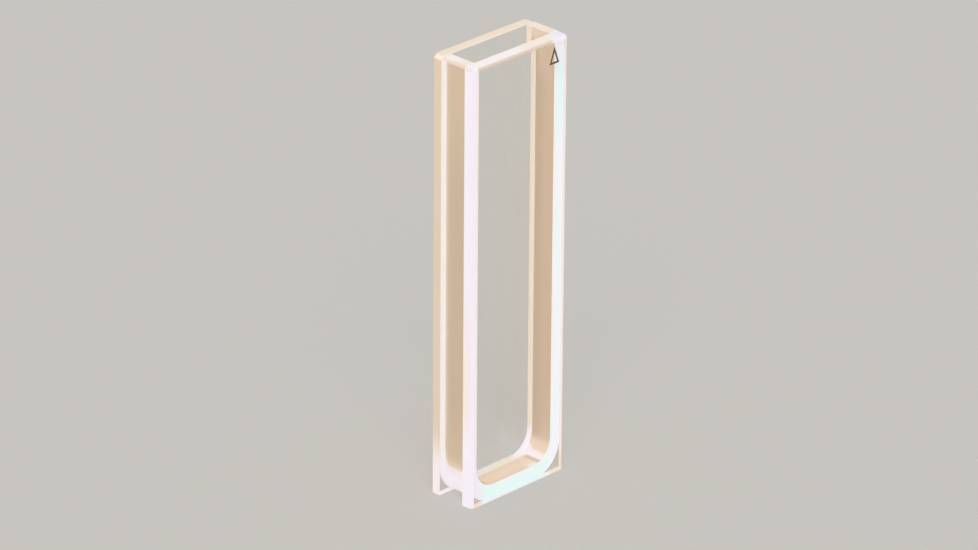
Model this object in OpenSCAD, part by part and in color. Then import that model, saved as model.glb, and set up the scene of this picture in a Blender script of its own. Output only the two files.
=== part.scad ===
// Short-path spectrometer cell: two clear windows fused to a U-shaped frame, open at the top.
// X runs across the width, Y along the light path, Z up. The origin is the centre of the base.

/* [Cell] */
// Overall width, across both side walls
cell_width = 12.5; // [10:0.5:20]
// Overall height, from the base to the open rim
cell_height = 45; // [20:1:80]
// Light path: the clear gap between the two windows
light_path = 3; // [1:0.5:10]

/* [Windows] */
// Thickness of each window
window_thickness = 1.25; // [0.75:0.05:2.5]
// Bevel on the outer upright edges of each window
side_bevel = 0.3; // [0.1:0.05:0.5]
// Depth of the steep bevel on the outer top edge of each window
top_bevel_depth = 0.1; // [0.05:0.05:0.5]
// Height of the same bevel
top_bevel_height = 0.35; // [0.1:0.05:0.6]

/* [Frame] */
// Thickness of each side wall of the frame
side_wall = 1.25; // [0.75:0.05:2]
// Thickness of the floor of the frame
floor_thickness = 1.3; // [0.75:0.05:3]
// Radius of the frame's outer bottom corners
outer_corner_r = 3.15; // [0.5:0.05:4]
// How much is ground off the base, which cuts the foot of those corners
base_trim = 0.15; // [0:0.05:0.5]
// Radius of the frame's inner bottom corners
inner_corner_r = 2.3; // [0.5:0.05:2.5]

/* [Hidden] */
// Overall depth: both windows and the gap between them
cell_depth = light_path + 2 * window_thickness;
// Clear width between the side walls
cavity_width = cell_width - 2 * side_wall;
// How far the cavity's outline runs on past the rim, so that the frame stays open at the top
rim_overrun = 1;
// Segments in a full circle for the rounded corners
corner_segments = 96;
clear_glass = [0.93, 0.94, 0.92, 0.35];
frosted_glass = [0.80, 0.73, 0.62];

// Plan of a window at the front of the cell: its outer upright edges are bevelled
module window_plan() {
    polygon([
        [-cell_width / 2, -light_path / 2],
        [-cell_width / 2, -cell_depth / 2 + side_bevel],
        [-cell_width / 2 + side_bevel, -cell_depth / 2],
        [cell_width / 2 - side_bevel, -cell_depth / 2],
        [cell_width / 2, -cell_depth / 2 + side_bevel],
        [cell_width / 2, -light_path / 2]
    ]);
}

// Upright section through the same window, as [depth, height]: its outer top edge has a steep
// bevel, and its foot is square, where the base is ground flat
module window_profile() {
    polygon([
        [-light_path / 2, 0],
        [-cell_depth / 2, 0],
        [-cell_depth / 2, cell_height - top_bevel_height],
        [-cell_depth / 2 + top_bevel_depth, cell_height],
        [-light_path / 2, cell_height]
    ]);
}

// A window is what its plan and its upright section have in common
module window() {
    intersection() {
        linear_extrude(cell_height) window_plan();
        rotate([90, 0, 90]) linear_extrude(cell_width, center = true) window_profile();
    }
}

// Outline, as [width, height], of a plate with its two bottom corners rounded
module round_bottomed_plate(width, bottom, top, radius) {
    for (side = [-1, 1])
        translate([side * (width / 2 - radius), bottom + radius])
            circle(r = radius, $fn = corner_segments);
    translate([radius - width / 2, bottom])
        square([width - 2 * radius, radius]);
    translate([-width / 2, bottom + radius])
        square([width, top - bottom - radius]);
}

module front_window() {
    color(clear_glass) window();
}

module rear_window() {
    color(clear_glass) mirror([0, 1, 0]) window();
}

// The frame fills the gap between the windows: two side walls and a floor cut from one plate
module u_frame() {
    color(frosted_glass)
        rotate([90, 0, 0])
            linear_extrude(light_path, center = true)
                difference() {
                    intersection() {
                        round_bottomed_plate(cell_width, -base_trim, cell_height, outer_corner_r);
                        translate([-cell_width / 2, 0]) square([cell_width, cell_height]);
                    }
                    round_bottomed_plate(
                        cavity_width, floor_thickness, cell_height + rim_overrun, inner_corner_r
                    );
                }
}

front_window();
rear_window();
u_frame();
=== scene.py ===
"""Short-path quartz cuvette: two clear windows fused to a frosted U-shaped frame.

It stands on a plain studio floor. In the shaders, places are in millimetres: across from the
middle of the cuvette, along the light path from its middle, and upright from its base.
"""

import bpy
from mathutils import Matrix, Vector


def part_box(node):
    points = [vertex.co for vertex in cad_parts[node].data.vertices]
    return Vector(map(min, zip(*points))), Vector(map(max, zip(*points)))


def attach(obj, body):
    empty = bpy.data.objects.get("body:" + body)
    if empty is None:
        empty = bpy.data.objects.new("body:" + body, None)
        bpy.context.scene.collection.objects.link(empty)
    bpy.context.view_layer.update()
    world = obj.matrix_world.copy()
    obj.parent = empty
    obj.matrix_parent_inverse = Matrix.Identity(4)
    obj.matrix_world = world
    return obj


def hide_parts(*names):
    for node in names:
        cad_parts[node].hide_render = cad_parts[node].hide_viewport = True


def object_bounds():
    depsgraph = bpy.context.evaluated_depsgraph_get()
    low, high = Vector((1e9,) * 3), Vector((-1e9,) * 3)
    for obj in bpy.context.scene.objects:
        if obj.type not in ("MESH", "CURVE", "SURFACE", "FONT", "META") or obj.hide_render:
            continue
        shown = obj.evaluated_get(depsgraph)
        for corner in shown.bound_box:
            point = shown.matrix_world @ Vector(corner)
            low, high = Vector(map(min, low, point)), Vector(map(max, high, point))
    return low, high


bl_info = {
    "name": "Short Path Cuvette",
    "version": (1, 0, 0),
    "blender": (4, 5, 0),
    "location": "3D View > Sidebar > Cuvette",
    "description": "Builds a short-path quartz cuvette, with its floor, light and camera",
    "category": "Add Mesh",
}

import math

import bpy
import numpy as np
from mathutils import Color, Matrix, Vector

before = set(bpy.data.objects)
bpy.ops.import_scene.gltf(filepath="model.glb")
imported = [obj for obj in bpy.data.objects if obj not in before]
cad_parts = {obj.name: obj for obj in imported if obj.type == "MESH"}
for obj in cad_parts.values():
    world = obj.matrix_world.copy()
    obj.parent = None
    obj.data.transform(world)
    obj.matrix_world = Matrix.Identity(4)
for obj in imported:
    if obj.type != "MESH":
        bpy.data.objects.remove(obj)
CAD_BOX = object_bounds()
BODY = "root"
MM = 0.001

FRONT_LOW, FRONT_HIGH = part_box("front_window")
REAR_LOW, REAR_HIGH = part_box("rear_window")
CELL_LOW, CELL_HIGH = CAD_BOX

# Places of the rim and of the two joints in the shaders
TOP = CELL_HIGH.z / MM
FRONT_JOINT = FRONT_HIGH.y / MM
REAR_JOINT = REAR_LOW.y / MM
# How far before the rear seam the outer tan starts to fade into painted light, in millimetres
SEAM_FADE = 0.68
# How far over the outer corners it starts to fade, and how far over them it has gone
FOOT_FADE_START = 2.6
FOOT_FADE_END = 0.4
# How far across the top bevels' painted light moves for each millimetre along the light path
BEVEL_LEAN = 0.56
# Where the painted light on the floor of the cavity is brightest, along the light path
FLOOR_BRIGHTEST = -0.55
# How much sooner the band of painted light round an inner corner starts near the rear seam
SEAM_LEAD = 0.1

# Steps round each bottom corner of the frame
CORNER_STEPS = 40
# Edges that turn by more degrees than this are left sharp
SHARP_ANGLE = 10

FUSED_QUARTZ_IOR = 1.4585
# How much of the light from lamps and from matt surfaces each finish lets straight through
CLEAR_PASS = 0.98
GROUND_PASS = 0.7
FROSTED_PASS = 1.0
# Strength of the painted glow on the frame's foot, standing in for light scattered in the quartz
PAINTED_GLOW = 0.2
NO_GLOW = Color((0, 0, 0))

# Roughness of each finish, and the most that a smear or the grain adds to it
GROUND_ROUGHNESS = 0.5
FROSTED_ROUGHNESS = 0.45
INK_ROUGHNESS = 0.6
FLOOR_ROUGHNESS = 0.9
SMEAR_ROUGHNESS = 0.006
GRAIN_ROUGHNESS = 0.2
# Share of the light that passes into the frosted quartz
FROSTED_TRANSMISSION = 0.2
# Strength and depth of the ground faces' grain as bump
GRAIN_BUMP = 0.12
GRAIN_DEPTH = 0.01 * MM
# What a smear leaves of the clear quartz's tint
SMEAR_TINT = 0.98
# The most that the grain, the grinding lines and the clouds bring of their darker colour
GROUND_MOTTLE = 0.06
GRINDING_MOTTLE = 0.14
FROSTED_MOTTLE = 0.1
# The most that the blots bring of the worn ink's colour
INK_MOTTLE = 0.5

# Sizes of the noises' grains in millimetres: across, along the light path and upright
SMEARS = (0.8, 0.8, 14)
GRAIN = (0.12, 0.12, 0.12)
GROUND_CLOUDS = (1.5, 1.5, 6)
FOOT_CLOUDS = (1.2, 1.2, 1.2)
BEVEL_CLOUDS = (1, 1, 5)
GRINDING_LINES = (0.14, 0.14, 9)
FROSTED_CLOUDS = (1.6, 1.6, 5)
JOINT_CLOUDS = (1.6, 1.6, 7)
JOINT_GRAIN = (0.3, 0.3, 3)
INK_BLOTS = (0.2, 0.2, 0.2)
# Octaves of the fine noises and of the soft clouds
FINE = 3
SOFT = 2

# The standard curve from a screen colour to light: its straight foot, and its power above that
CURVE_KNEE = 0.04045
CURVE_SLOPE = 12.92
CURVE_OFFSET = 0.055
CURVE_POWER = 2.4

# The floor's half width, and its gap under the base, in metres
FLOOR_REACH = 20.0
FLOOR_DROP = 0.02 * MM
# The key light's place round the cuvette and over the horizon, and how wide it looks
KEY_AZIMUTH = math.radians(-45)
KEY_ELEVATION = math.radians(40)
KEY_WIDTH = math.radians(40)
# A ray sees the backdrop if it has bounced off fewer matt surfaces than this, and else the light
BACKDROP_BOUNCES = 0.5
# The camera's sensor in millimetres, and the nearest and farthest that it sees in metres
SENSOR_WIDTH = 36
CLIP_NEAR = 0.01
CLIP_FAR = 100


def length(name, description, default, low, high):
    """A size that a user may change, given in millimetres and held in metres."""
    return bpy.props.FloatProperty(
        name=name, description=description, default=default * MM, min=low * MM, max=high * MM,
        subtype="DISTANCE", unit="LENGTH", precision=5,
    )


def colour(name, description, default):
    """A colour that a user may change, as it is seen on a screen, each part from 0 to 255."""
    return bpy.props.FloatVectorProperty(
        name=name, description=description, default=[part / 255 for part in default],
        size=3, min=0, max=1, subtype="COLOR_GAMMA",
    )


def strength(name, description, default, high):
    """The strength of a light, from 0 up."""
    return bpy.props.FloatProperty(
        name=name, description=description, default=default, min=0, max=high,
    )


def angle(name, description, default):
    """An angle, given in degrees and held in radians."""
    return bpy.props.FloatProperty(
        name=name, description=description, default=math.radians(default),
        subtype="ANGLE", unit="ROTATION",
    )


class CuvetteSizes(bpy.types.PropertyGroup):
    """Sizes of the cuvette that the boxes of its CAD nodes don't give."""

    side_wall: length("Side wall", "Thickness of each side wall of the frame", 1.25, 0.5, 3)
    floor_thickness: length("Floor", "Thickness of the floor of the frame", 1.3, 0.5, 4)
    outer_corner: length(
        "Outer corner", "Radius of the frame's outer bottom corners", 3.15, 0.5, 4)
    base_trim: length(
        "Base trim", "How much is ground off the base, across the foot of those corners",
        0.15, 0, 0.5)
    inner_corner: length(
        "Inner corner", "Radius of the frame's inner bottom corners", 2.3, 0.5, 4)
    side_bevel: length(
        "Side bevel", "Ground bevel on the outer upright edges of a window", 0.3, 0.15, 0.6)
    top_bevel_depth: length(
        "Top bevel depth", "Depth of the bevel on a window's outer top edge", 0.1, 0.02, 0.14)
    top_bevel_height: length("Top bevel height", "Height of the same bevel", 0.35, 0.05, 1)
    top_corner: length(
        "Top corner", "Cut where a window's top edge meets its side edges", 0.3, 0.05, 0.6)
    rim_bevel: length(
        "Rim bevel", "Ground bevel on the outer top edges of the frame", 0.2, 0.02, 0.3)
    joint_lap: length(
        "Joint lap", "How far the fused joint reaches into each window", 0.02, 0.005, 0.1)
    seam_width: length("Seam", "Width of the clear strip beside the rear joint", 0.64, 0.1, 1.2)
    mark_width: length("Mark width", "Width of the orientation mark", 1.3, 0.5, 3)
    mark_height: length("Mark height", "Height of the orientation mark", 1.75, 0.5, 3)
    mark_line: length(
        "Mark line", "Thickness of the line of the orientation mark", 0.2, 0.05, 0.5)
    mark_from_side: length(
        "Mark from side", "From the window's right edge to the mark's middle", 1.92, 1, 6)
    mark_from_top: length(
        "Mark from top", "From the window's top edge to the mark's middle", 1.59, 1, 6)
    mark_depth: length(
        "Mark depth", "Depth of the ink under the front face", 0.008, 0.002, 0.05)


class CuvetteColours(bpy.types.PropertyGroup):
    """Colours of the cuvette's finishes."""

    clear: colour("Clear quartz", "Tint of the polished faces", (254, 254, 253))
    edge_front: colour(
        "Edge, front", "Ground upright edges of the front window", (249, 243, 252))
    edge_warm: colour(
        "Edge, warm", "The front window's right-hand edge, and a stretch of its left-hand edge",
        (249, 237, 232))
    # Painted shade: the rear window's edges get less light than the front window's
    edge_rear_painted_shade: colour(
        "Edge, rear", "Ground upright edges of the rear window", (227, 206, 181))
    edge_foot: colour(
        "Edge, foot", "Lower ends of the rear window's upright edges", (252, 238, 238))
    bevel_side: colour("Side bevel", "Ground upright bevels at the left", (234, 226, 241))
    bevel_right: colour(
        "Side bevel, right", "Ground upright bevels at the right", (241, 232, 220))
    bevel_top: colour(
        "Top bevel", "Ground bevels at the top, between the joints", (230, 213, 200))
    # Painted shade on the bevels' lower side, which turns away from the light
    bevel_low_painted_shade: colour("Top bevel, low", "Lower side of the same bevels", (208, 190, 168))
    # Painted light where the bright joint shows behind the bevels
    bevel_painted_light: colour(
        "Top bevel, light", "Right-hand ends of the same bevels as one faces them",
        (240, 235, 246))
    rim_front: colour("Rim, front", "Ground top edges at the front", (255, 246, 250))
    rim_cream: colour(
        "Rim, cream", "Top edges over the front joint, and in part at the front right",
        (249, 235, 216))
    rim_middle: colour(
        "Rim, middle", "Ground top edges between the joints", (254, 243, 239))
    # Painted shade on the rear top edges, which get less light; also used in part at the right
    rim_rear: colour(
        "Rim, rear", "Ground top edges at the rear, and in part at the right", (245, 228, 206))
    rim_corner: colour(
        "Rim, corner", "Ground top edges at the front right corner", (243, 239, 253))
    rim_cut: colour(
        "Rim, cut", "Cut between the front window's top edge and its left-hand edge",
        (232, 224, 232))
    rim_strip: colour(
        "Rim strip", "Fine strip along the top of the frame's outer faces", (243, 222, 204))
    ground_dark: colour(
        "Ground quartz, dark", "Darker grain and clouds of the ground faces", (173, 148, 128))
    outside: colour(
        "Frosted wall, outside", "Frosted outer faces of the frame", (208, 190, 164))
    outside_top: colour(
        "Frosted wall, top", "Top of the same faces, and in part low down", (218, 198, 171))
    # Painted light on the outer faces beside the rear seam
    outside_painted_light: colour(
        "Frosted wall, pale", "The same faces beside the rear seam", (221, 203, 176))
    inside: colour(
        "Frosted wall, inside", "Frosted inner faces of the frame", (221, 192, 164))
    # Painted shade on the inner faces towards the rear seam
    inside_rear_painted_shade: colour(
        "Frosted wall, inside rear", "The same faces beside the rear seam", (202, 175, 146))
    base: colour("Frosted floor", "Frosted floor of the cavity", (248, 218, 188))
    base_left: colour(
        "Frosted floor, left", "Frosted floor of the cavity, at the left", (250, 222, 170))
    # The floor away from its middle, where the painted light there fades
    base_dull: colour(
        "Frosted floor, dull", "Frosted floor of the cavity, away from its middle",
        (240, 213, 186))
    # Painted light beside the rear seam, where the bright joint shows through
    base_rear_painted_light: colour(
        "Frosted floor, rear", "Frosted floor of the cavity, beside the rear seam",
        (255, 246, 220))
    # Painted light in two corners of the cavity's floor and at its ends
    base_painted_light: colour(
        "Frosted floor, pale", "Frosted floor of the cavity, in two corners and at its ends",
        (255, 245, 249))
    # Lighter tan: one step of the painted light where the outer faces fade; also the inner faces
    # under the rim
    warm: colour(
        "Frosted quartz, warm", "Where the frosting thins out towards a corner or the rim",
        (240, 221, 198))
    turn_warm: colour(
        "Inner corner, warm", "Start of an inner corner, and the top of the cavity's walls",
        (230, 204, 175))
    # Painted light: the curved inner corner catching more light
    turn_painted_light: colour(
        "Inner corner, light", "Light band round an inner corner", (247, 235, 234))
    # Painted light of the same band near the rear seam; also the cooler top of the outer corners
    turn_cool: colour(
        "Inner corner, cool", "The same band beside the rear seam, and the outer corners' top",
        (246, 234, 250))
    # Painted shade in the crease where the cavity's floor begins, and low on its walls
    crease_painted_shade: colour(
        "Crease", "Fine line where the cavity's floor begins, and a tint low on its walls",
        (204, 175, 147))
    frosted_dark: colour(
        "Frosted quartz, dark", "Darker grinding lines and clouds of the frosted faces",
        (179, 143, 112))
    foot: colour("Foot", "Ground outer corners of the frame", (255, 250, 255))
    foot_cream: colour(
        "Foot, cream", "Ends of the front window's lower edge, and foot of its right-hand edge",
        (253, 232, 208))
    joint_left: colour(
        "Joint, left", "Fused joint of the front window, at the left and beside the cavity",
        (255, 246, 240))
    joint_foot: colour(
        "Joint, foot", "Fused joint of the front window, at its left bottom corner",
        (248, 242, 255))
    joint_right: colour(
        "Joint, right", "Fused joint of the front window, at the right, and its underside",
        (244, 249, 255))
    joint_cool: colour(
        "Joint, cool", "Cooler cloudy parts of the same joint and underside", (230, 252, 250))
    joint_rear_left: colour(
        "Rear joint, left", "Fused joint of the rear window, at the left", (255, 243, 243))
    joint_rear_right: colour(
        "Rear joint, right", "Fused joint of the rear window, at the right", (251, 227, 198))
    # Painted light at the rear joint's bottom corners, standing in for light that reaches them
    joint_corner_painted_light: colour(
        "Rear joint, corner", "Fused joint of the rear window, at its bottom corners",
        (255, 249, 255))
    joint_dark: colour("Joint, dark", "Darker grain of the fused joints", (191, 173, 158))
    ink: colour("Ink", "Ink of the orientation mark", (62, 46, 26))
    ink_worn: colour("Ink, worn", "Thinner parts of the ink", (120, 100, 72))


class StudioSettings(bpy.types.PropertyGroup):
    """Floor, light and camera."""

    floor: colour("Floor", "Colour of the floor and of the backdrop", (200, 197, 192))
    side_light: strength("Side light", "Strength of the even light at the horizon", 1.5, 5)
    top_light: strength("Top light", "Strength of the even light overhead", 0.3, 5)
    key: strength("Key light", "Strength of the soft light from the front left", 1.45, 10)
    camera_azimuth: angle(
        "Camera azimuth", "Turn of the camera round the cuvette, from the front", -45.69)
    camera_elevation: angle(
        "Camera elevation", "Height of the camera above the horizon", 24.69)
    camera_roll: angle("Camera roll", "Lean of the camera", 0.43)
    camera_distance: length(
        "Camera distance", "From the aim point to the camera", 594, 100, 3000)
    lens: bpy.props.FloatProperty(
        name="Lens", description="Focal length of the camera, in millimetres",
        default=231.5, min=20, max=1000, subtype="DISTANCE_CAMERA", unit="CAMERA",
    )
    aim_right: length(
        "Aim right", "Aim point, to the right of the front left foot", 1.64, -50, 50)
    aim_up: length(
        "Aim up", "Aim point, above the front left foot, along the picture", 22.17, -50, 50)


class Wire:
    """A socket of a shader graph. An expression on it adds Math nodes."""

    def __init__(self, graph, socket):
        self.graph = graph
        self.socket = socket

    def __add__(self, other):
        return self.graph.maths("ADD", self, other)

    __radd__ = __add__

    def __sub__(self, other):
        return self.graph.maths("SUBTRACT", self, other)

    def __rsub__(self, other):
        return self.graph.maths("SUBTRACT", other, self)

    def __mul__(self, other):
        return self.graph.maths("MULTIPLY", self, other)

    __rmul__ = __mul__

    def __abs__(self):
        return self.graph.maths("ABSOLUTE", self)


class Graph:
    """The node graph of one material or world."""

    def __init__(self, owner):
        owner.use_nodes = True
        self.tree = owner.node_tree
        self.tree.nodes.clear()

    def node(self, kind, settings=None, sockets=None):
        """Adds a node. Its settings come first, and then each socket gets its value or its link.

        A Color is a colour as it is seen on a screen, and its socket gets the light for it.
        """
        made = self.tree.nodes.new(kind)
        for key, value in (settings or {}).items():
            if key == "stops":
                ramp = made.color_ramp
                # A new stop starts halfway and is then moved to its place
                while len(ramp.elements) < len(value):
                    ramp.elements.new(0.5)
                for stop, (place, shade) in zip(ramp.elements, value):
                    stop.position = place
                    stop.color = linear(shade)
            else:
                setattr(made, key, value)
        for key, value in (sockets or {}).items():
            if isinstance(key, int):
                socket = made.inputs[key]
            else:
                socket = next(s for s in made.inputs if s.name == key and s.enabled)
            if isinstance(value, Wire):
                self.tree.links.new(value.socket, socket)
            elif isinstance(value, Color):
                socket.default_value = linear(value)
            else:
                socket.default_value = value
        return made

    def wire(self, kind, settings=None, sockets=None, output=None):
        """Adds a node and gives one of its outputs, by name, or else its first."""
        made = self.node(kind, settings, sockets)
        found = next(s for s in made.outputs if s.enabled and output in (None, s.name))
        return Wire(self, found)

    def maths(self, operation, *values):
        """A Math node on one or two values."""
        return self.wire("ShaderNodeMath", {"operation": operation}, dict(enumerate(values)))

    def either(self, first, second):
        """The larger of two values."""
        return self.maths("MAXIMUM", first, second)

    def climb(self, value, start, end):
        """0 up to start, then a straight climb that reaches 1 at end and goes on past it.

        Where end is under start, it climbs as value falls.
        """
        return self.maths("MAXIMUM", (value - start) * (1 / (end - start)), 0.0)

    def ease(self, value, start, end):
        """A mask: 0 up to start, 1 from end on, and a smooth change between.

        Where end is under start, the mask rises as value falls. A mask times a number is a
        weaker mask, which brings no more than that share.
        """
        sockets = {"Value": value, "From Min": start, "From Max": end}
        return self.wire("ShaderNodeMapRange", {"interpolation_type": "SMOOTHSTEP"}, sockets)

    def blend(self, share, first, second):
        """From the first colour to the second as share goes from 0 to 1."""
        sockets = {"Factor": share, "A": first, "B": second}
        return self.wire("ShaderNodeMix", {"data_type": "RGBA"}, sockets)

    def layers(self, shade, *coats):
        """A colour with coats laid over it in turn, each given as its mask and its colour."""
        for mask, coat in coats:
            shade = self.blend(mask, shade, coat)
        return shade

    def share(self, value, low, high):
        """How far value, in millimetres, is on the way from low to high, which are in metres."""
        return (value - low / MM) * (MM / (high - low))

    def ramp(self, value, stops):
        """Colours at places from 0 to 1, eased from one to the next."""
        return self.wire("ShaderNodeValToRGB", {"stops": stops}, {0: value})

    def place(self, stretch=(1, 1, 1)):
        """Object coordinates in millimetres, each shrunk by its stretch.

        A pattern on them is drawn out by the same stretch.
        """
        found = self.wire("ShaderNodeTexCoord", output="Object")
        sockets = {"Vector": found, "Scale": [1 / MM / part for part in stretch]}
        return self.wire("ShaderNodeMapping", {"vector_type": "POINT"}, sockets)

    def axes(self):
        """Object coordinates in millimetres as three values: across, along and upright."""
        split = self.node("ShaderNodeSeparateXYZ", None, {"Vector": self.place()})
        return [Wire(self, split.outputs[axis]) for axis in "XYZ"]

    def noise(self, size, detail):
        """A soft noise from 0 to 1, whose grains are about size millimetres long each way."""
        sockets = {"Vector": self.place(size), "Scale": 1.0, "Detail": detail}
        return self.wire("ShaderNodeTexNoise", {"noise_dimensions": "3D"}, sockets)


def linear(shade):
    """A screen colour as the light that it stands for, with an alpha of 1."""
    parts = np.asarray(shade, float)
    low = parts / CURVE_SLOPE
    high = ((parts + CURVE_OFFSET) / (1 + CURVE_OFFSET)) ** CURVE_POWER
    return [*np.where(parts <= CURVE_KNEE, low, high), 1.0]


def finish_material(name, build, lets_light=0.0):
    """A material whose build function gives its Principled node's sockets, constant or linked.

    lets_light is the share of the light from lamps, and of light on its way from a matt surface,
    that goes straight through.
    """
    made = bpy.data.materials.new(name)
    graph = Graph(made)
    shader = graph.wire("ShaderNodeBsdfPrincipled", None, build(graph))
    if lets_light:
        paths = graph.node("ShaderNodeLightPath")
        light = graph.either(
            Wire(graph, paths.outputs["Is Shadow Ray"]),
            Wire(graph, paths.outputs["Is Diffuse Ray"]),
        )
        clear = graph.wire("ShaderNodeBsdfTransparent")
        sockets = {0: lets_light * light, 1: shader, 2: clear}
        shader = graph.wire("ShaderNodeMixShader", None, sockets)
    graph.node("ShaderNodeOutputMaterial", None, {"Surface": shader})
    return made


def clear_quartz(colours):
    """Polished quartz: clear, with faint upright smears."""
    def build(graph):
        smear = graph.noise(SMEARS, FINE)
        tint = linear(colours.clear)
        dull = [SMEAR_TINT * part for part in tint[:3]] + [1.0]
        return {
            "Base Color": graph.blend(smear, dull, tint),
            "Roughness": SMEAR_ROUGHNESS * smear,
            "IOR": FUSED_QUARTZ_IOR,
            "Transmission Weight": 1.0,
        }
    return finish_material("clear_quartz", build, CLEAR_PASS)


def ground_quartz(name, colours, shade_at, painted_glow_at=None):
    """Ground quartz, in the colour that shade_at gives, with a fine grain and soft clouds.

    shade_at works the colour out from the graph and its three axes. From the same, the optional
    second function works out where a face carries a painted glow, which stands in for faint light
    that reaches it from inside the quartz.
    """
    def build(graph):
        axes = graph.axes()
        grain = graph.noise(GRAIN, FINE)
        cloud = graph.noise(GROUND_CLOUDS, SOFT)
        dark = GROUND_MOTTLE * grain + GROUND_MOTTLE * cloud
        shade = graph.blend(dark, shade_at(graph, *axes), colours.ground_dark)
        relief = {"Strength": GRAIN_BUMP, "Distance": GRAIN_DEPTH, "Height": grain}
        sockets = {
            "Base Color": shade,
            "Roughness": GROUND_ROUGHNESS + GRAIN_ROUGHNESS * grain,
            "IOR": FUSED_QUARTZ_IOR,
            "Normal": graph.wire("ShaderNodeBump", None, relief),
        }
        if painted_glow_at:
            # A painted glow: the face gives off its own colour as faint light, though it is no lamp
            sockets["Emission Color"] = graph.blend(painted_glow_at(graph, *axes), NO_GLOW, shade)
            sockets["Emission Strength"] = PAINTED_GLOW
        return sockets
    return finish_material(name, build, GROUND_PASS)


def edge_quartz(colours):
    """Upright edges of the windows.

    The front window's are lavender white at the left, with a warmer stretch a quarter of the way
    up, and warm at the right, with a cream foot. The rear window's are tan with a pale foot, and
    their tan is painted shade, as they get less light than the front window's.
    """
    def shade_at(graph, across, along, upright):
        left = graph.ramp(graph.share(upright, FRONT_LOW.z, FRONT_HIGH.z), [
            (0.13, colours.edge_front), (0.22, colours.edge_warm), (0.31, colours.edge_warm),
            (0.58, colours.edge_front),
        ])
        at_right = graph.ease(across, 0.0, 1.0)
        right_foot = at_right * graph.ease(upright, 3.0, 1.2)
        front = graph.layers(
            left, (at_right, colours.edge_warm), (right_foot, colours.foot_cream))
        over_foot = graph.ease(upright, 2.5, 7.5)
        # The rear edges' tan is painted shade
        rear = graph.blend(over_foot, colours.edge_foot, colours.edge_rear_painted_shade)
        at_rear = graph.ease(along, -1.0, 1.0)
        return graph.blend(at_rear, front, rear)
    return ground_quartz("ground_edge", colours, shade_at)


def rim_quartz(colours):
    """Top edges: nearly white, with a cream line over the front joint, and cream at the rear, which
    is painted shade, as the rear edges get less light.

    Towards the right they turn to cream too, but the front right corner is cool. The cut at the
    front left corner is a little greyer.
    """
    def shade_at(graph, across, along, upright):
        # The cream at the rear end of this ramp is painted shade
        rim = graph.ramp(graph.share(along, CELL_LOW.y, CELL_HIGH.y), [
            (0.10, colours.rim_front), (0.23, colours.rim_middle), (0.34, colours.rim_cream),
            (0.50, colours.rim_middle), (0.72, colours.rim_middle), (0.86, colours.rim_rear),
        ])
        behind_joint = along - FRONT_JOINT
        right = 0.55 * graph.ease(across, 1.0, 5.0) * graph.ease(behind_joint, -0.1, 0.5)
        corner = graph.ease(across, 4.2, 5.4) * graph.ease(behind_joint, 0.2, -0.4)
        front_right = graph.ease(across, -0.5, 1.5) * graph.ease(across, 4.8, 3.8)
        strip = 0.65 * front_right * graph.ease(behind_joint, 0.0, -0.2)
        front_left = graph.ease(across, -5.0, -5.9) * graph.ease(behind_joint, 0.1, -0.1)
        cut = front_left * graph.ease(TOP - upright, 0.01, 0.05)
        return graph.layers(
            rim, (right, colours.rim_rear), (corner, colours.rim_corner),
            (strip, colours.rim_cream), (cut, colours.rim_cut),
        )
    return ground_quartz("ground_rim", colours, shade_at)


def foot_quartz(sizes, colours):
    """Outer bottom corners of the frame and the whole underside.

    The frame's corners are pale, a little cooler at their top, and further down they carry a
    painted glow that stands in for light scattered inside the quartz. The front window's underside
    is cool and cloudy, with cream ends.
    """
    lap = sizes.joint_lap / MM

    def shade_at(graph, across, along, upright):
        frame_foot = graph.blend(graph.ease(upright, 2.2, 3.2), colours.foot, colours.turn_cool)
        cloud = graph.noise(FOOT_CLOUDS, SOFT)
        window_end = graph.ease(abs(across), 4.25, 4.8)
        window_foot = graph.layers(
            colours.joint_right, (0.5 * cloud, colours.joint_cool),
            (window_end, colours.foot_cream),
        )
        under_window = graph.ease(along, FRONT_JOINT, FRONT_JOINT - lap)
        return graph.blend(under_window, frame_foot, window_foot)

    # Where the frame's foot carries its painted glow, growing towards the base
    def painted_glow_at(graph, across, along, upright):
        in_frame = graph.ease(abs(along), REAR_JOINT + lap, REAR_JOINT)
        return in_frame * graph.ease(upright, 2.7, 0.6)
    return ground_quartz("ground_foot", colours, shade_at, painted_glow_at)


def side_bevel_quartz(colours):
    """Upright bevels, darker than the edges: lavender at the left and cream at the right."""
    def shade_at(graph, across, along, upright):
        cloud = graph.noise(BEVEL_CLOUDS, SOFT)
        at_right = graph.ease(across, -1.0, 1.0)
        return graph.layers(
            colours.bevel_side, (at_right, colours.bevel_right),
            (0.3 * cloud, colours.edge_front),
        )
    return ground_quartz("side_bevel", colours, shade_at)


def top_bevel_quartz(sizes, colours):
    """Bevels along the top: cream, with painted shade on their lower side.

    Each carries painted light at its right-hand end as one faces it, where the bright joint shows
    behind it.
    """
    def shade_at(graph, across, along, upright):
        # Painted shade on the lower side, and painted light at the end over the joint
        lower = graph.ease(upright, TOP, TOP - sizes.top_bevel_height / MM)
        over_joint = graph.ease(abs(across - BEVEL_LEAN * along), 5.1, 6.1)
        return graph.layers(
            colours.bevel_top, (lower, colours.bevel_low_painted_shade), (over_joint, colours.bevel_painted_light))
    return ground_quartz("top_bevel", colours, shade_at)


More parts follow.
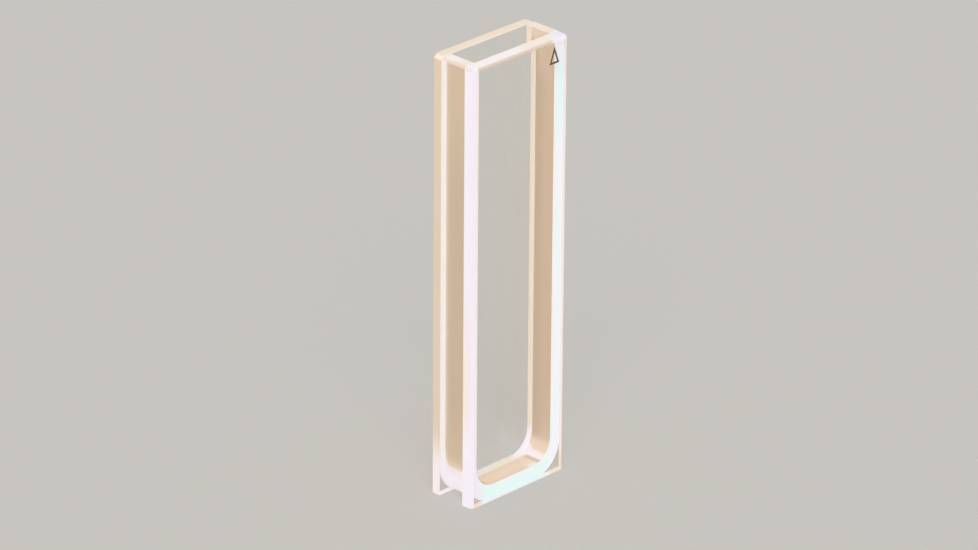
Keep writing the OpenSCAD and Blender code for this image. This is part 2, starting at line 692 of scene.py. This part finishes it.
def frosted_quartz(name, colours, shade_at):
    """Frosted quartz, in the colour that shade_at gives, with upright grinding lines and clouds."""
    def build(graph):
        lines = graph.noise(GRINDING_LINES, FINE)
        cloud = graph.noise(FROSTED_CLOUDS, SOFT)
        dark = GRINDING_MOTTLE * lines + FROSTED_MOTTLE * cloud
        shade = shade_at(graph, *graph.axes())
        return {
            "Base Color": graph.blend(dark, shade, colours.frosted_dark),
            "Roughness": FROSTED_ROUGHNESS,
            "IOR": FUSED_QUARTZ_IOR,
            "Transmission Weight": FROSTED_TRANSMISSION,
        }
    return finish_material(name, build, FROSTED_PASS)


def frosted_outside(sizes, colours):
    """Outer faces: tan, lighter at the top and low down, with a fine pale strip along the top.

    The tan fades into painted light towards the rear seam and towards the frame's rounded foot.
    The sum of the two fades' squares rounds the corner between them.
    """
    seam_edge = (REAR_LOW.y + sizes.joint_lap - sizes.seam_width) / MM
    corner_top = (CELL_LOW.z + sizes.outer_corner - sizes.base_trim) / MM

    def shade_at(graph, across, along, upright):
        under_top = TOP - upright
        to_seam = graph.climb(along, seam_edge - SEAM_FADE, seam_edge)
        to_foot = graph.climb(
            upright, corner_top + FOOT_FADE_START, corner_top + FOOT_FADE_END)
        faded = to_seam * to_seam + to_foot * to_foot
        light = graph.either(graph.ease(under_top, 15, 3), 0.5 * graph.ease(upright, 9, 5))
        tan = graph.blend(light, colours.outside, colours.outside_top)
        # Painted light where the tan fades, towards the rear seam and the foot
        pale = graph.ramp(faded, [
            (0.35, colours.outside_painted_light), (0.75, colours.warm), (1.0, colours.foot),
        ])
        end_of_tan = graph.ease(faded, 0.05, 0.35)
        strip = graph.ease(under_top, 0.34, 0.2)
        return graph.layers(tan, (end_of_tan, pale), (strip, colours.rim_strip))
    return frosted_quartz("frosted_outside", colours, shade_at)


def frosted_inside(sizes, colours):
    """Inner faces: tan walls, a band of painted light round each corner, and a lighter floor.

    The walls carry painted shade towards the rear and low down, and are lighter at their top. The
    turn round a corner goes from 0 where the wall ends to 1 where the flat floor begins. The band
    of painted light starts sooner and is cooler near the rear seam. The fine line of painted shade
    after it stops short of the seam. On the floor, painted light is brightest across its middle,
    beside the rear seam, in two corners and at its ends.
    """
    centre_across = (FRONT_HIGH.x - sizes.side_wall - sizes.inner_corner) / MM
    centre_upright = (FRONT_LOW.z + sizes.floor_thickness + sizes.inner_corner) / MM

    def shade_at(graph, across, along, upright):
        outward = abs(across) - centre_across
        turn = graph.maths("ARCTAN2", centre_upright - upright, outward) * (2 / math.pi)
        near_seam = graph.ease(along, 0.2, 0.6)
        under_top = TOP - upright

        # Painted shade towards the rear and low down on the walls, and lighter tan near the top
        behind = graph.ease(along, -0.8, 0.6)
        lower = 0.3 * graph.ease(upright, 34, 8)
        upper = 0.9 * graph.ease(under_top, 6, 2) * graph.ease(along, 0.95, 0.25)
        under_rim = 0.9 * graph.ease(under_top, 1.6, 0.4)
        tan = graph.layers(
            colours.inside, (behind, colours.inside_rear_painted_shade), (lower, colours.crease_painted_shade),
            (upper, colours.turn_warm), (under_rim, colours.warm),
        )
        # The band of painted light round each inner corner
        lit = graph.blend(near_seam, colours.turn_painted_light, colours.turn_cool)
        in_light = graph.ease(turn + SEAM_LEAD * near_seam, 0.44, 0.57)
        band = graph.blend(in_light, colours.turn_warm, lit)
        wall = graph.blend(graph.ease(turn, 0.10, 0.30), tan, band)

        # Painted light on the floor: across its middle, beside the rear seam, in two corners and at
        # its ends
        at_left = graph.ease(across, -0.5, -3.0)
        dull = graph.ease(abs(along - FLOOR_BRIGHTEST), 0.1, 0.7)
        at_seam = graph.ease(along, 0.3, 0.8)
        front_right = graph.ease(along, -0.7, -1.3) * graph.ease(across, 1.8, 2.6)
        rear_left = graph.ease(along, 0.4, 0.9) * graph.ease(across, -1.8, -2.5)
        ends = graph.ease(turn, 0.82, 0.72)
        pale = graph.either(graph.either(front_right, rear_left), ends)
        # A fine line of painted shade where the floor begins
        line = 0.9 * graph.ease(turn, 0.66, 0.76) * graph.ease(turn, 0.86, 0.80)
        line = line * graph.ease(along, 0.6, 0.2)
        floor = graph.layers(
            colours.base, (at_left, colours.base_left), (dull, colours.base_dull),
            (at_seam, colours.base_rear_painted_light), (pale, colours.base_painted_light),
            (line, colours.crease_painted_shade),
        )
        return graph.blend(graph.ease(turn, 0.6, 0.7), wall, floor)
    return frosted_quartz("frosted_inside", colours, shade_at)


def fused_joint(colours):
    """Fused joints of the windows with the frame.

    The front one is cream white at the left, cool and cloudy at the right and along the floor,
    and cream white again along the cavity and in the floor's middle. The rear one goes from pink
    at the left to cream at the right, with painted light at its bottom corners.
    """
    def build(graph):
        across, along, upright = graph.axes()
        under_top = TOP - upright
        patches = 0.5 * graph.ease(graph.noise(JOINT_CLOUDS, SOFT), 0.45, 0.75)
        low = graph.ease(upright, 2.6, 0.6) * graph.ease(across, 5.5, 3.5)
        high = graph.ease(under_top, 12, 7) * graph.ease(under_top, 2, 4)
        high_outside = high * graph.ease(across, 5.1, 5.7)
        cool = graph.either(patches, graph.either(low, high_outside))
        by_cavity = graph.ease(across, 5.4, 5.1) * graph.ease(upright, 4.5, 6.5)
        middle = 0.5 * graph.ease(upright, 0.85, 1.1) * graph.ease(abs(across), 3.3, 2.3)
        right = graph.layers(
            colours.joint_right, (cool, colours.joint_cool), (by_cavity, colours.joint_left),
            (middle, colours.joint_left),
        )
        low_left = graph.ease(upright, 6.5, 3.5)
        left = graph.blend(low_left, colours.joint_left, colours.joint_foot)
        front = graph.blend(graph.ease(across, -5.3, -3.6), left, right)
        to_right = graph.ease(across, -4.5, 4.5)
        # Painted light at the rear joint's bottom corners
        corner = graph.ease(abs(across), 2.4, 3.6) * graph.ease(upright, 3.9, 2.9)
        rear = graph.layers(
            colours.joint_rear_left, (to_right, colours.joint_rear_right),
            (corner, colours.joint_corner_painted_light),
        )
        shade = graph.blend(graph.ease(along, -0.5, 0.5), front, rear)
        grain = graph.noise(JOINT_GRAIN, FINE)
        return {
            "Base Color": graph.blend(GROUND_MOTTLE * grain, shade, colours.joint_dark),
            "Roughness": GROUND_ROUGHNESS + GRAIN_ROUGHNESS * grain,
            "IOR": FUSED_QUARTZ_IOR,
        }
    return finish_material("fused_joint", build, GROUND_PASS)


def mark_ink(colours):
    """Matt fired ink, a little uneven."""
    def build(graph):
        blot = graph.noise(INK_BLOTS, FINE)
        return {
            "Base Color": graph.blend(INK_MOTTLE * blot, colours.ink, colours.ink_worn),
            "Roughness": INK_ROUGHNESS + GRAIN_ROUGHNESS * blot,
        }
    return finish_material("mark_ink", build)


def sweep(rings, closed=False):
    """Faces of a tube through a stack of rings, as rows of point numbers, with caps on both ends.

    rings has the shape (rings, points in a ring, 3). Point j of ring i is number i * points + j.
    Each side face joins points j and j + 1 of ring i to the same points of ring i + 1, with j
    wrapping round the ring. With closed, the last ring joins the first, and there are no caps.
    The faces turn outwards where the solid's volume is above 0, by the sum of
    point . (next point x point after that) over all triangles, and are turned round where it
    isn't.
    """
    count, width = rings.shape[:2]
    numbers = np.arange(count * width).reshape(count, width)
    here = numbers if closed else numbers[:-1]
    there = np.roll(numbers, -1, axis=0)[: len(here)]
    corners = [here, np.roll(here, -1, axis=1), np.roll(there, -1, axis=1), there]
    sides = np.stack(corners, axis=-1).reshape(-1, 4)
    caps = [] if closed else [numbers[0][::-1].tolist(), numbers[-1].tolist()]
    points = rings.reshape(-1, 3)
    faces = sides.tolist() + caps
    first, second, third, fourth = (points[sides[:, corner]] for corner in range(4))
    volume = np.einsum("ij,ij->", first, np.cross(second, third))
    volume += np.einsum("ij,ij->", first, np.cross(third, fourth))
    for cap in caps:
        hub, spokes = points[cap[0]], points[cap[1:]]
        volume += np.einsum("j,ij->", hub, np.cross(spokes[:-1], spokes[1:]))
    if volume < 0:
        faces = [face[::-1] for face in faces]
    return points, faces


def add_to_scene(name, data):
    """An object for a mesh, lamp or camera, linked to the scene."""
    made = bpy.data.objects.new(name, data)
    bpy.context.scene.collection.objects.link(made)
    return made


def piece(name, points, faces, materials, slots, smooth=False):
    """A piece that rides on the body, from its points, its faces and each face's material."""
    mesh = bpy.data.meshes.new(name)
    mesh.from_pydata(points.tolist(), [], faces)
    for material in materials:
        mesh.materials.append(material)
    mesh.polygons.foreach_set("material_index", np.asarray(slots, np.int32))
    mesh.polygons.foreach_set("use_smooth", np.full(len(faces), smooth))
    mesh.update()
    if smooth:
        mesh.set_sharp_from_angle(angle=math.radians(SHARP_ANGLE))
    made = add_to_scene(name, mesh)
    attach(made, BODY)
    return made


def window_rings(low, high, outer_side, sizes):
    """The plate as a stack of six-cornered rings through its thickness.

    Each ring is a rectangle without its top corners. At a depth t under the outer face, its sides
    are drawn in by the side bevel less t, and its top by the top bevel's height times 1 less t
    over that bevel's depth, where those are above 0. Its foot is on the base all the way, and
    each top corner is cut at 45 degrees, the top corner's size along both edges. The corners run
    round in order, starting along the foot.
    """
    thickness = high.y - low.y
    depth = np.array([0, sizes.top_bevel_depth, sizes.side_bevel, thickness])
    left = low.x + np.maximum(sizes.side_bevel - depth, 0)
    right = high.x - np.maximum(sizes.side_bevel - depth, 0)
    foot = np.full(len(depth), low.z)
    top = high.z - sizes.top_bevel_height * np.maximum(1 - depth / sizes.top_bevel_depth, 0)
    cut = sizes.top_corner
    across = np.stack([left, right, right, right - cut, left + cut, left], axis=1)
    upright = np.stack([foot, foot, top - cut, top, top, top - cut], axis=1)
    outer = low.y if outer_side < 0 else high.y
    level = np.broadcast_to((outer - outer_side * depth)[:, None], across.shape)
    return np.stack([across, level, upright], axis=-1)


def frame_rings(sizes):
    """The U-shaped frame as a section carried down one side, round the floor and up the other.

    The outer path runs down x = -half width, round an arc of the outer corner radius, along
    z = 0, and back up, and its two ends are drawn in by the rim bevel. The arc's lowest point
    would be the base trim under z = 0, so it ends at the angle whose sine is 1 - trim / radius.
    The inner path does the same with the cavity's half width, the floor's top and the inner
    radius, but with a whole quarter circle and without a bevel. Each ring goes from the front
    joint to the rear joint along the outer path and back along the inner path, with a point on
    each way, a seam's width before the rear joint.
    """
    turn = np.linspace(0, 1, CORNER_STEPS + 1)
    top = CELL_HIGH.z

    def path(half, bottom, radius, last_angle, bevel):
        angles = last_angle * turn
        corner_x = radius - half - radius * np.cos(angles)
        corner_z = bottom + radius - radius * np.sin(angles)
        down_x = np.concatenate([[bevel - half, -half], corner_x])
        down_z = np.concatenate([[top, top - sizes.rim_bevel], corner_z])
        return np.concatenate([down_x, -down_x[::-1]]), np.concatenate([down_z, down_z[::-1]])

    half = CELL_HIGH.x
    base = CELL_LOW.z - sizes.base_trim
    at_base = math.asin(1 - sizes.base_trim / sizes.outer_corner)
    floor = CELL_LOW.z + sizes.floor_thickness
    outer = path(half, base, sizes.outer_corner, at_base, sizes.rim_bevel)
    inner = path(half - sizes.side_wall, floor, sizes.inner_corner, math.pi / 2, 0)
    front = FRONT_HIGH.y - sizes.joint_lap
    rear = REAR_LOW.y + sizes.joint_lap
    level = np.array([front, rear - sizes.seam_width, rear])
    across, upright = (
        np.repeat(np.stack(pair, axis=1), len(level), axis=1) for pair in zip(outer, inner))
    level = np.tile(np.concatenate([level, level[::-1]]), (len(across), 1))
    return np.stack([across, level, upright], axis=-1)


def mark_rings(sizes):
    """The orientation mark: an upright triangle drawn with one even line.

    Each corner of the triangle gives a ring of four points: the outer corner at the ink's two
    depths, and the inner corner at the same depths. The inner corners lie towards the centre of
    the triangle's inscribed circle, at 1 - line / inscribed radius of the way from it, which
    leaves a line of even thickness.
    """
    middle_x = FRONT_HIGH.x - sizes.mark_from_side
    middle_z = FRONT_HIGH.z - sizes.mark_from_top
    half_width = sizes.mark_width / 2
    half_height = sizes.mark_height / 2
    corners = np.array([
        [-half_width, -half_height], [half_width, -half_height], [0, half_height],
    ])
    sides = np.linalg.norm(np.roll(corners, -1, axis=0) - np.roll(corners, -2, axis=0), axis=1)
    centre = sides @ corners / sides.sum()
    radius = sizes.mark_width * sizes.mark_height / sides.sum()
    inner = centre + (corners - centre) * (1 - sizes.mark_line / radius)
    flat = np.stack([corners, corners, inner, inner], axis=1) + [middle_x, middle_z]
    front = FRONT_LOW.y + sizes.mark_depth
    back = front + sizes.mark_depth
    level = np.tile([front, back, back, front], (len(corners), 1))
    return np.stack([flat[..., 0], level, flat[..., 1]], axis=-1)


class CUVETTE_OT_windows(bpy.types.Operator):
    """Build the two clear windows, with ground edges and bevels"""

    bl_idname = "cuvette.windows"
    bl_label = "Windows"

    def execute(self, context):
        sizes, colours = context.scene.cuvette_sizes, context.scene.cuvette_colours
        materials = [
            clear_quartz(colours), edge_quartz(colours), rim_quartz(colours),
            side_bevel_quartz(colours), top_bevel_quartz(sizes, colours),
            foot_quartz(sizes, colours),
        ]
        face, edge, rim, side_bevel, top_bevel, foot = range(len(materials))
        # The sides of a ring in order: foot, right side, right cut, top, left cut and left side
        slots = [
            foot, side_bevel, rim, top_bevel, rim, side_bevel,
            foot, side_bevel, rim, rim, rim, side_bevel,
            foot, edge, rim, rim, rim, edge,
            face, face,
        ]
        for name, low, high, outer_side in (
            ("front_window_glass", FRONT_LOW, FRONT_HIGH, -1),
            ("rear_window_glass", REAR_LOW, REAR_HIGH, 1),
        ):
            points, faces = sweep(window_rings(low, high, outer_side, sizes))
            made = piece(name, points, faces, materials, slots)
            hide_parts(name.removesuffix("_glass"))
        return {"FINISHED"}


class CUVETTE_OT_frame(bpy.types.Operator):
    """Build the frosted U-shaped frame between the windows"""

    bl_idname = "cuvette.frame"
    bl_label = "Frame"

    def execute(self, context):
        sizes, colours = context.scene.cuvette_sizes, context.scene.cuvette_colours
        materials = [
            frosted_outside(sizes, colours), frosted_inside(sizes, colours), fused_joint(colours),
        ]
        # These three are made with the windows, which are built first
        for name in ("clear_quartz", "ground_foot", "ground_rim"):
            materials.append(bpy.data.materials[name])
        outside, inside, joint, seam, foot, rim = range(len(materials))
        rings = frame_rings(sizes)
        # The sides of a ring in order: outer face, its strip by the rear joint, rear joint, the
        # inner face's strip, inner face and front joint
        slots = np.tile([foot, foot, joint, seam, inside, joint], (len(rings) - 1, 1))
        # Both ends of the outer path are a bevel and then a side wall
        bevel, wall = [outside, outside], [outside, seam]
        slots[[0, 1, -2, -1], :2] = [bevel, wall, wall, bevel]
        points, faces = sweep(rings)
        slots = [*slots.ravel(), rim, rim]
        made = piece("frosted_frame", points, faces, materials, slots, smooth=True)
        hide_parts("u_frame")
        return {"FINISHED"}


class CUVETTE_OT_mark(bpy.types.Operator):
    """Build the orientation mark under the front window's face"""

    bl_idname = "cuvette.mark"
    bl_label = "Orientation mark"

    def execute(self, context):
        sizes, colours = context.scene.cuvette_sizes, context.scene.cuvette_colours
        points, faces = sweep(mark_rings(sizes), closed=True)
        slots = np.zeros(len(faces))
        made = piece("orientation_mark", points, faces, [mark_ink(colours)], slots)
        return {"FINISHED"}


def direction(azimuth, elevation):
    """From the cuvette towards a place round it, turned from the front and over the horizon."""
    level = math.cos(elevation)
    return Vector((
        math.sin(azimuth) * level, -math.cos(azimuth) * level, math.sin(elevation),
    ))


def lay_floor(studio):
    """A wide flat floor, just under the base."""
    mesh = bpy.data.meshes.new("floor")
    near, far, level = -FLOOR_REACH, FLOOR_REACH, -FLOOR_DROP
    corners = [(near, near, level), (far, near, level), (far, far, level), (near, far, level)]
    mesh.from_pydata(corners, [], [range(len(corners))])

    def build(graph):
        return {
            "Base Color": studio.floor,
            "Roughness": FLOOR_ROUGHNESS,
            "Specular IOR Level": 0.0,
        }
    mesh.materials.append(finish_material("floor", build))
    add_to_scene("floor", mesh)


def light_world(studio):
    """Even soft light, from its strength at the horizon to its strength overhead.

    The camera, and rays through or off the glass, see a backdrop in the floor's colour instead,
    until they bounce off a matt surface.
    """
    world = bpy.data.worlds.new("studio")
    bpy.context.scene.world = world
    graph = Graph(world)
    paths = graph.node("ShaderNodeLightPath")
    kinds = ("Is Camera Ray", "Is Glossy Ray", "Is Transmission Ray", "Diffuse Depth")
    camera, glossy, through, bounces = (Wire(graph, paths.outputs[kind]) for kind in kinds)
    backdrop = (camera + glossy + through) * graph.maths("LESS_THAN", bounces, BACKDROP_BOUNCES)
    view = graph.wire("ShaderNodeTexCoord", output="Generated")
    height = graph.wire("ShaderNodeSeparateXYZ", None, {"Vector": view}, "Z")
    side, top = ([light] * 3 + [1.0] for light in (studio.side_light, studio.top_light))
    tent = graph.blend(graph.either(height, 0.0), side, top)
    shade = graph.blend(backdrop, tent, studio.floor)
    light = graph.wire("ShaderNodeBackground", None, {"Color": shade, "Strength": 1.0})
    graph.node("ShaderNodeOutputWorld", None, {"Surface": light})


def light_key(studio):
    """A wide soft sun from the front left."""
    lamp = bpy.data.lights.new("key", "SUN")
    lamp.energy = studio.key
    lamp.angle = KEY_WIDTH
    away = -direction(KEY_AZIMUTH, KEY_ELEVATION)
    add_to_scene("key", lamp).rotation_euler = away.to_track_quat("-Z", "Y").to_euler()


def place_camera(studio):
    """The camera, turned to its aim point, which is measured in the picture from the front foot."""
    back = direction(studio.camera_azimuth, studio.camera_elevation)
    right = Vector((math.cos(studio.camera_azimuth), math.sin(studio.camera_azimuth), 0))
    up = back.cross(right)
    lean, rise = math.sin(studio.camera_roll), math.cos(studio.camera_roll)
    picture_right = rise * right + lean * up
    picture_up = rise * up - lean * right
    aim = CELL_LOW + studio.aim_right * picture_right + studio.aim_up * picture_up
    optics = bpy.data.cameras.new("camera")
    optics.lens = studio.lens
    optics.sensor_width = SENSOR_WIDTH
    optics.clip_start = CLIP_NEAR
    optics.clip_end = CLIP_FAR
    camera = add_to_scene("camera", optics)
    turn = Matrix((picture_right, picture_up, back)).transposed().to_4x4()
    camera.matrix_world = Matrix.Translation(aim + studio.camera_distance * back) @ turn
    bpy.context.scene.camera = camera


class CUVETTE_OT_stage(bpy.types.Operator):
    """Build the floor, the light and the camera"""

    bl_idname = "cuvette.stage"
    bl_label = "Stage"

    def execute(self, context):
        studio = context.scene.cuvette_studio
        lay_floor(studio)
        light_world(studio)
        light_key(studio)
        place_camera(studio)
        context.scene.view_settings.view_transform = "Standard"
        return {"FINISHED"}


class CUVETTE_PT_panel(bpy.types.Panel):
    """The cuvette's pieces, sizes and colours, in the 3D view's sidebar"""

    bl_idname = "CUVETTE_PT_panel"
    bl_label = "Cuvette"
    bl_space_type = "VIEW_3D"
    bl_region_type = "UI"
    bl_category = "Cuvette"

    def draw(self, context):
        for settings in GROUPS:
            group = getattr(context.scene, settings)
            box = self.layout.box()
            for name in group.bl_rna.properties.keys():
                if name not in ("rna_type", "name"):
                    box.prop(group, name)
        for operator in OPERATORS:
            self.layout.operator(operator.bl_idname)


GROUPS = {
    "cuvette_sizes": CuvetteSizes,
    "cuvette_colours": CuvetteColours,
    "cuvette_studio": StudioSettings,
}
OPERATORS = (CUVETTE_OT_windows, CUVETTE_OT_frame, CUVETTE_OT_mark, CUVETTE_OT_stage)


def register():
    """Registers every class and puts the settings on the scene."""
    for name, group in GROUPS.items():
        bpy.utils.register_class(group)
        setattr(bpy.types.Scene, name, bpy.props.PointerProperty(type=group))
    for operator in OPERATORS:
        bpy.utils.register_class(operator)
    bpy.utils.register_class(CUVETTE_PT_panel)


def unregister():
    """Takes back all that register did."""
    bpy.utils.unregister_class(CUVETTE_PT_panel)
    for operator in reversed(OPERATORS):
        bpy.utils.unregister_class(operator)
    for name, group in reversed(GROUPS.items()):
        delattr(bpy.types.Scene, name)
        bpy.utils.unregister_class(group)


def main():
    """Builds the pieces and the stage in order."""
    register()
    bpy.ops.cuvette.windows()
    bpy.ops.cuvette.frame()
    bpy.ops.cuvette.mark()
    bpy.ops.cuvette.stage()


if __name__ == "__main__":
    main()
